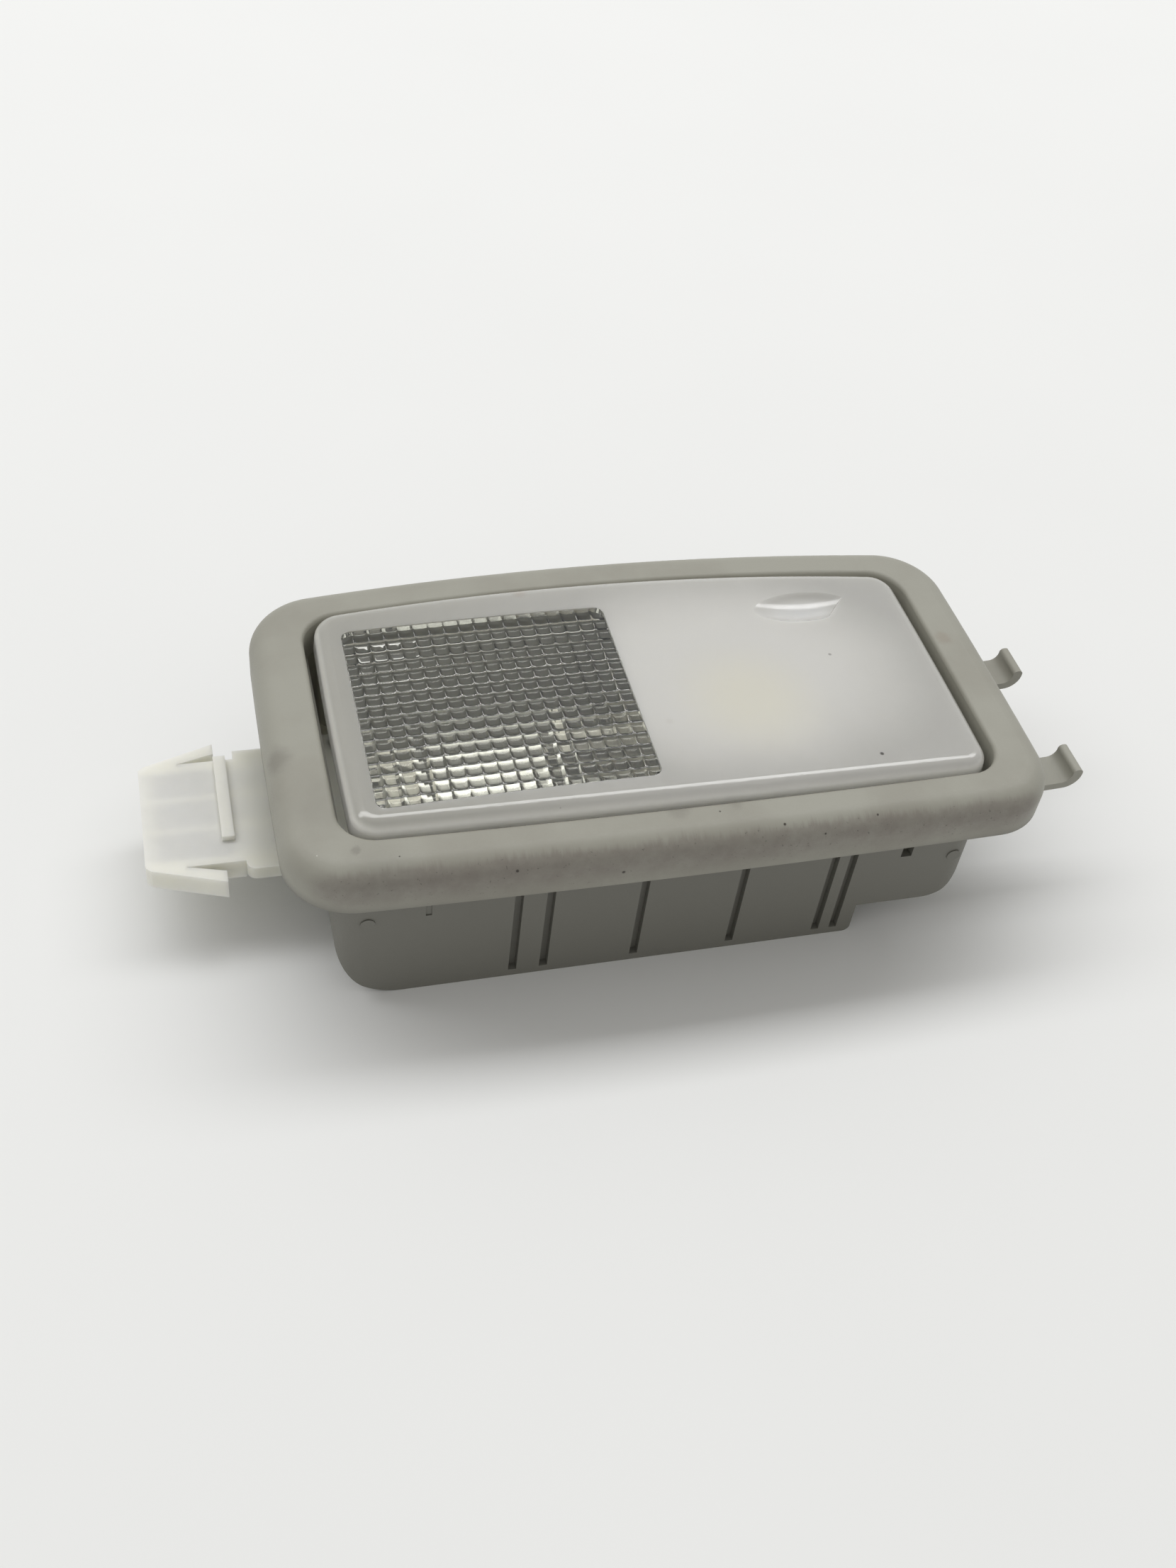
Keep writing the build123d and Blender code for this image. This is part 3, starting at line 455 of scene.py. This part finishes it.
def windowTree():
    tree = bpy.data.node_groups.new("pillowWindow", "GeometryNodeTree")
    tree.interface.new_socket("Geometry", in_out="OUTPUT", socket_type="NodeSocketGeometry")
    numbers = (
        "Length", "Width", "Grid X", "Grid Y", "Middle X", "Middle Y", "Half Length", "Half Width",
        "Corner", "Pitch", "First Column", "First Row", "Pillow Across", "Pillow Along", "Flatness",
        "Face Height", "Face Slope", "Lens Top", "Crown Radius", "Edge Drop", "Edge Near",
        "First Lift", "Weld Within", "Crease Angle",
    )
    for name in numbers:
        tree.interface.new_socket(name, in_out="INPUT", socket_type="NodeSocketFloat")
    for name in ("Column Points", "Row Points"):
        tree.interface.new_socket(name, in_out="INPUT", socket_type="NodeSocketInt")
    tree.interface.new_socket("Finish", in_out="INPUT", socket_type="NodeSocketMaterial")
    given = tree.nodes.new("NodeGroupInput").outputs
    maths = fieldMaths(tree)
    link = tree.links.new

    grid = tree.nodes.new("GeometryNodeMeshGrid")
    link(given["Length"], grid.inputs["Size X"])
    link(given["Width"], grid.inputs["Size Y"])
    link(given["Column Points"], grid.inputs["Vertices X"])
    link(given["Row Points"], grid.inputs["Vertices Y"])
    start = tree.nodes.new("GeometryNodeTransform")
    shift = tree.nodes.new("ShaderNodeCombineXYZ")
    link(given["Grid X"], shift.inputs["X"])
    link(given["Grid Y"], shift.inputs["Y"])
    link(grid.outputs["Mesh"], start.inputs["Geometry"])
    link(shift.outputs["Vector"], start.inputs["Translation"])

    def place():
        spot = tree.nodes.new("GeometryNodeInputPosition")
        parts = tree.nodes.new("ShaderNodeSeparateXYZ")
        link(spot.outputs["Position"], parts.inputs["Vector"])
        return parts.outputs["X"], parts.outputs["Y"]

    def move(geometry, x, y, z, chosen=None):
        target = tree.nodes.new("ShaderNodeCombineXYZ")
        for name, value in (("X", x), ("Y", y), ("Z", z)):
            feed(tree, target.inputs[name], value)
        node = tree.nodes.new("GeometryNodeSetPosition")
        link(geometry, node.inputs["Geometry"])
        link(target.outputs["Vector"], node.inputs["Position"])
        if chosen is not None:
            link(chosen, node.inputs["Selection"])
        return node.outputs["Geometry"]

    # plan: held to the opening in the lens, with its corners rounded
    x, y = place()
    signs, arms, turns, sides = [], [], [], []
    for value, middle, half in ((x, "Middle X", "Half Length"), (y, "Middle Y", "Half Width")):
        offset = maths("SUBTRACT", value, given[middle])
        reach = maths("MINIMUM", maths("ABSOLUTE", offset), given[half])
        arm = maths("SUBTRACT", given[half], given["Corner"])
        signs.append(maths("SIGN", offset))
        arms.append(maths("MINIMUM", reach, arm))
        beyond = maths("MAXIMUM", maths("SUBTRACT", reach, arm), 0.0)
        turns.append(maths("DIVIDE", beyond, given["Corner"]))
    for this, other in ((0, 1), (1, 0)):
        halfSquare = maths("MULTIPLY", maths("POWER", turns[other], 2.0), 0.5)
        squeeze = maths("SQRT", maths("SUBTRACT", 1.0, halfSquare))
        bend = maths("MULTIPLY", maths("MULTIPLY", given["Corner"], turns[this]), squeeze)
        sides.append(maths("MULTIPLY", signs[this], maths("ADD", arms[this], bend)))
    plan = move(start.outputs["Geometry"], maths("ADD", sides[0], given["Middle X"]),
                maths("ADD", sides[1], given["Middle Y"]), 0.0)

    # inner face: one pillow in each cell
    x, y = place()
    face = maths("ADD", given["Face Height"], maths("MULTIPLY", x, given["Face Slope"]))
    for value, first, depth in ((x, "First Column", "Pillow Across"), (y, "First Row", "Pillow Along")):
        cell = maths("FRACT", maths("DIVIDE", maths("SUBTRACT", value, given[first]), given["Pitch"]))
        fromMiddle = maths("ABSOLUTE", maths("SUBTRACT", maths("MULTIPLY", cell, 2.0), 1.0))
        dip = maths("MULTIPLY", maths("POWER", fromMiddle, given["Flatness"]), given[depth])
        face = maths("ADD", face, dip)
    inner = move(plan, x, y, face)

    # outer face: the crown of the lens, eased down along the edge
    raised = tree.nodes.new("GeometryNodeExtrudeMesh")
    raised.mode = "FACES"
    raised.inputs["Individual"].default_value = False
    link(given["First Lift"], raised.inputs["Offset Scale"])
    link(inner, raised.inputs["Mesh"])
    x, y = place()
    radius = given["Crown Radius"]
    upright = maths("SQRT", maths("SUBTRACT", maths("POWER", radius, 2.0), maths("POWER", x, 2.0)))
    sag = maths("SUBTRACT", radius, upright)
    edges = []
    for value, middle, half in ((x, "Middle X", "Half Length"), (y, "Middle Y", "Half Width")):
        away = maths("ABSOLUTE", maths("SUBTRACT", value, given[middle]))
        edges.append(maths("GREATER_THAN", away, maths("SUBTRACT", given[half], given["Edge Near"])))
    drop = maths("MULTIPLY", maths("MAXIMUM", edges[0], edges[1]), given["Edge Drop"])
    height = maths("SUBTRACT", maths("SUBTRACT", given["Lens Top"], sag), drop)
    outer = move(raised.outputs["Mesh"], x, y, height, raised.outputs["Top"])

    flip = tree.nodes.new("GeometryNodeFlipFaces")
    link(inner, flip.inputs["Mesh"])
    join = tree.nodes.new("GeometryNodeJoinGeometry")
    link(flip.outputs["Mesh"], join.inputs["Geometry"])
    link(outer, join.inputs["Geometry"])
    weld = tree.nodes.new("GeometryNodeMergeByDistance")
    link(given["Weld Within"], weld.inputs["Distance"])
    link(join.outputs["Geometry"], weld.inputs["Geometry"])
    soft = tree.nodes.new("GeometryNodeSetShadeSmooth")
    link(weld.outputs["Geometry"], soft.inputs["Geometry"])
    corner = tree.nodes.new("GeometryNodeInputMeshEdgeAngle")
    crease = tree.nodes.new("GeometryNodeSetShadeSmooth")
    crease.domain = "EDGE"
    crease.inputs["Shade Smooth"].default_value = False
    link(soft.outputs["Geometry"], crease.inputs["Geometry"])
    sharp = maths("GREATER_THAN", corner.outputs["Unsigned Angle"], given["Crease Angle"])
    link(sharp, crease.inputs["Selection"])
    real = tree.nodes.new("GeometryNodeRealizeInstances")
    finish = tree.nodes.new("GeometryNodeSetMaterial")
    out = tree.nodes.new("NodeGroupOutput")
    link(crease.outputs["Geometry"], real.inputs["Geometry"])
    link(real.outputs["Geometry"], finish.inputs["Geometry"])
    link(given["Finish"], finish.inputs["Material"])
    link(finish.outputs["Geometry"], out.inputs["Geometry"])
    return tree


def plainMesh(name, tree, values):  # runs a tree once and keeps its mesh
    holder = bpy.data.objects.new(name + "Maker", bpy.data.meshes.new(name + "Maker"))
    scene.collection.objects.link(holder)
    modifier = holder.modifiers.new("maker", "NODES")
    modifier.node_group = tree
    for item in tree.interface.items_tree:
        if item.in_out == "INPUT":
            modifier[item.identifier] = values[item.name]
    graph = bpy.context.evaluated_depsgraph_get()
    mesh = bpy.data.meshes.new_from_object(holder.evaluated_get(graph))
    holder.modifiers.remove(modifier)
    bpy.data.objects.remove(holder, do_unlink=True)
    piece = bpy.data.objects.new(name, mesh)
    mesh.name = name
    scene.collection.objects.link(piece)
    return piece


def makeWindow():
    size = windowSize
    mm = 0.001
    step = size["pitch"] / size["cutsPerCell"]
    leftCuts, rightCuts, frontCuts, backCuts = size["edgeCuts"]
    columnCuts = leftCuts + (size["columns"] - 1) * size["cutsPerCell"] + rightCuts
    rowCuts = frontCuts + (size["rows"] - 1) * size["cutsPerCell"] + backCuts
    gridX = size["firstColumn"] + (columnCuts / 2 - leftCuts) * step
    gridY = size["firstRow"] + (rowCuts / 2 - frontCuts) * step
    radius = (size["lensHalf"] ** 2 + size["crown"] ** 2) / (2 * size["crown"])
    faceLeft, faceRight = (
        size["lensTop"] - size["thickness"] - radius + (radius ** 2 - end ** 2) ** 0.5
        for end in (size["left"], size["right"])
    )
    slope = (faceRight - faceLeft) / (size["right"] - size["left"])
    tree = windowTree()
    values = {
        "Length": columnCuts * step * mm,
        "Width": rowCuts * step * mm,
        "Column Points": columnCuts + 1,
        "Row Points": rowCuts + 1,
        "Grid X": gridX * mm,
        "Grid Y": gridY * mm,
        "Middle X": (size["left"] + size["right"]) / 2 * mm,
        "Middle Y": size["middleY"] * mm,
        "Half Length": ((size["right"] - size["left"]) / 2 - size["play"]) * mm,
        "Half Width": (size["halfWidth"] - size["play"]) * mm,
        "Corner": size["corner"] * mm,
        "Pitch": size["pitch"] * mm,
        "First Column": size["firstColumn"] * mm,
        "First Row": size["firstRow"] * mm,
        "Pillow Across": size["pillowAcross"] * mm,
        "Pillow Along": size["pillowAlong"] * mm,
        "Flatness": size["flatness"],
        "Face Height": (faceLeft - slope * size["left"]) * mm,
        "Face Slope": slope,
        "Lens Top": size["lensTop"] * mm,
        "Crown Radius": radius * mm,
        "Edge Drop": size["edgeDrop"] * mm,
        "Edge Near": size["edgeNear"] * mm,
        "First Lift": size["firstLift"] * mm,
        "Weld Within": size["weldWithin"] * mm,
        "Crease Angle": size["creaseAngle"],
        "Finish": clearPlastic,
    }
    window = plainMesh("pillowWindow", tree, values)
    pivot = Matrix.Translation((0.0, 0.0, size["pivotHeight"] * mm))
    tilt = Matrix.Rotation(radians(size["restTilt"]), 4, "Y")
    window.data.transform(pivot @ tilt @ pivot.inverted())
    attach(window, "lens")
    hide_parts("lens_window")
    print("window made,", len(window.data.polygons), "faces")


makeWindow()


# Nylon connector

nylonLook = {  # places in millimetres
    "cream": (244, 243, 232),
    "pale": (238, 237, 227),
    # painted shade: greyer colour of the connector toward the housing, for the bezel's shadow
    "shoulderShade": (218, 218, 208),
    "shoulderBetween": (-66.0, -60.5),
    "cloudScale": 130.0,
    "roughness": (0.36, 0.5),
    "milkiness": 0.8,
    "soften": 2.5,
    "softenTint": (1.0, 0.97, 0.88),
    "cover": 0.9,
    "grainScale": 2600.0,
    "grainStrength": 0.2,
    "grainDepth": 0.02,
}


def nylonFinish():
    look = nylonLook
    material, tree, shader, coords = startMaterial("naturalNylon")
    x = axes(tree, coords)[0]
    cloud = noise(tree, coords, look["cloudScale"], 4.0)
    fine = noise(tree, coords, look["grainScale"], 2.0)
    colour = blendColour(tree, band(tree, cloud, 0.3, 0.7), shade(*look["cream"]), shade(*look["pale"]))
    # painted shade: the connector is painted greyer toward the housing
    left, right = metres(look["shoulderBetween"])
    colour = blendColour(tree, band(tree, x, left, right), colour, shade(*look["shoulderShade"]))
    tree.links.new(colour, shader.inputs["Base Color"])
    tree.links.new(band(tree, cloud, 0.3, 0.7, *look["roughness"]), shader.inputs["Roughness"])
    shader.inputs["Alpha"].default_value = look["cover"]
    shader.inputs["Subsurface Weight"].default_value = look["milkiness"]
    shader.inputs["Subsurface Scale"].default_value = look["soften"] / 1000
    shader.inputs["Subsurface Radius"].default_value = look["softenTint"]
    grain(tree, shader, fine, look["grainStrength"], look["grainDepth"])
    return material


naturalNylon = nylonFinish()
print("nylon done")


# Metals and glass inside

metalLook = {  # colour, roughness, share of metal
    "sheet": ((244, 244, 240), 0.3, 0.9),
    "tinned": ((168, 166, 158), 0.36, 1.0),
    "nickel": ((150, 148, 142), 0.42, 1.0),
}
streakLook = {"scale": 400.0, "stretch": (1.0, 6.0, 6.0), "worn": 0.8, "rougher": 0.15}
glassLook = {
    "clear": (248, 247, 242),
    "smoked": (222, 220, 212),
    "smokeScale": 160.0,
    "roughness": (0.02, 0.08),
    "bend": 1.5,
}


def metalFinish(name, colour, roughness, metal):
    material, tree, shader, coords = startMaterial(name)
    streak = noise(tree, coords, streakLook["scale"], 4.0, 0.6, streakLook["stretch"])
    worn = [streakLook["worn"] * level for level in colour]
    tint = blendColour(tree, band(tree, streak, 0.3, 0.8), shade(*colour), shade(*worn))
    tree.links.new(tint, shader.inputs["Base Color"])
    roughest = roughness + streakLook["rougher"]
    tree.links.new(band(tree, streak, 0.2, 0.8, roughness, roughest), shader.inputs["Roughness"])
    shader.inputs["Metallic"].default_value = metal
    return material


brightSheet = metalFinish("brightSheet", *metalLook["sheet"])
tinnedContact = metalFinish("tinnedContact", *metalLook["tinned"])
bulbMetal = metalFinish("bulbMetal", *metalLook["nickel"])
bulbGlass, tree, shader, coords = startMaterial("bulbGlass")
shader.inputs["Transmission Weight"].default_value = 1.0
shader.inputs["IOR"].default_value = glassLook["bend"]
smoke = noise(tree, coords, glassLook["smokeScale"], 3.0)
tint = blendColour(tree, smoke, shade(*glassLook["clear"]), shade(*glassLook["smoked"]))
tree.links.new(tint, shader.inputs["Base Color"])
tree.links.new(band(tree, smoke, 0.3, 0.8, *glassLook["roughness"]), shader.inputs["Roughness"])
print("metals and bulb done")

finishes = {
    "housing": greyPlastic,
    "lens_opal": opalPlastic,
    "lens_window": clearPlastic,
    "connector": naturalNylon,
    "reflector": brightSheet,
    "bulb_glass": bulbGlass,
    "bulb_cap_left": bulbMetal,
    "bulb_cap_right": bulbMetal,
    "contact_live": tinnedContact,
    "contact_common": tinnedContact,
    "contact_earth": tinnedContact,
    "contact_door": tinnedContact,
}
for name, finish in finishes.items():
    nodes[name].data.materials.clear()
    nodes[name].data.materials.append(finish)


# Floor, light and camera

studio = {  # metres
    "floorSize": 6.0,
    "floorColour": (242, 243, 243),
    "floorMottle": 4,
    "floorMottleScale": 9.0,
    "floorRoughness": 0.8,
    "floorShine": 0.2,
    "ambient": 0.47,
    "ambientColour": (1.0, 0.985, 0.945, 1.0),
    "shownColour": (0.86, 0.87, 0.86, 1.0),
    "lampPower": 26.5,
    "lampPlace": (-0.2, 0.72, 1.5),
    "lampSize": (4.0, 0.5),
}


def layFloor():
    half = studio["floorSize"] / 2
    mesh = bpy.data.meshes.new("floor")
    corners = [(-half, -half, 0), (half, -half, 0), (half, half, 0), (-half, half, 0)]
    mesh.from_pydata(corners, [], [(0, 1, 2, 3)])
    floor = bpy.data.objects.new("floor", mesh)
    scene.collection.objects.link(floor)
    paper, tree, shader, coords = startMaterial("paleFloor")
    mottle = noise(tree, coords, studio["floorMottleScale"], 3.0)
    pale = shade(*studio["floorColour"])
    dull = shade(*(level - studio["floorMottle"] for level in studio["floorColour"]))
    tree.links.new(blendColour(tree, mottle, pale, dull), shader.inputs["Base Color"])
    shader.inputs["Roughness"].default_value = studio["floorRoughness"]
    shader.inputs["Specular IOR Level"].default_value = studio["floorShine"]
    mesh.materials.append(paper)


def hangLamp():
    light = bpy.data.lights.new("softLamp", "AREA")
    light.shape = "RECTANGLE"
    light.size, light.size_y = studio["lampSize"]
    light.energy = studio["lampPower"]
    lamp = bpy.data.objects.new("softLamp", light)
    scene.collection.objects.link(lamp)
    lamp.location = studio["lampPlace"]
    aim = Vector((0.0, -studio["lampPlace"][1], -studio["lampPlace"][2]))
    lamp.rotation_euler = aim.to_track_quat("-Z", "Y").to_euler()


def setWorld():  # seen straight, through glass or in a gloss it is paler than the light it gives
    world = bpy.data.worlds.new("paleRoom")
    world.use_nodes = True
    scene.world = world
    tree = world.node_tree
    tree.nodes.clear()
    path = tree.nodes.new("ShaderNodeLightPath")
    seen = sums(tree, "MAXIMUM", path.outputs["Is Camera Ray"], path.outputs["Is Glossy Ray"])
    seen = sums(tree, "MAXIMUM", seen, path.outputs["Is Transmission Ray"])
    direct = sums(tree, "LESS_THAN", path.outputs["Diffuse Depth"], 0.5)
    seen = sums(tree, "MULTIPLY", seen, direct)
    lit = tree.nodes.new("ShaderNodeBackground")
    lit.inputs["Color"].default_value = studio["ambientColour"]
    lit.inputs["Strength"].default_value = studio["ambient"]
    shown = tree.nodes.new("ShaderNodeBackground")
    shown.inputs["Color"].default_value = studio["shownColour"]
    shown.inputs["Strength"].default_value = 1.0
    mix = tree.nodes.new("ShaderNodeMixShader")
    out = tree.nodes.new("ShaderNodeOutputWorld")
    tree.links.new(seen, mix.inputs["Fac"])
    tree.links.new(lit.outputs["Background"], mix.inputs[1])
    tree.links.new(shown.outputs["Background"], mix.inputs[2])
    tree.links.new(mix.outputs["Shader"], out.inputs["Surface"])


photoCamera = {  # from the fit to the photo
    "lens": 37.74,
    "sensor": 36.0,
    "nearest": 0.005,
    "place": (-0.071683, -0.178998, 0.204262),
    "right": (0.96629373, -0.23723808, 0.09997261),
    "down": (-0.10347338, -0.71348409, -0.69298897),
    "ahead": (0.23573224, 0.65928639, -0.71398303),
}


def placeCamera():
    data = bpy.data.cameras.new("photoCamera")
    data.lens = photoCamera["lens"]
    data.sensor_width = photoCamera["sensor"]
    data.clip_start = photoCamera["nearest"]
    camera = bpy.data.objects.new("photoCamera", data)
    scene.collection.objects.link(camera)
    right = Vector(photoCamera["right"])
    up = -Vector(photoCamera["down"])
    back = -Vector(photoCamera["ahead"])
    turn = Matrix((right, up, back)).transposed().to_4x4()
    camera.matrix_world = Matrix.Translation(photoCamera["place"]) @ turn
    scene.camera = camera


layFloor()
hangLamp()
setWorld()
placeCamera()
print("floor, lamp, world and camera set")
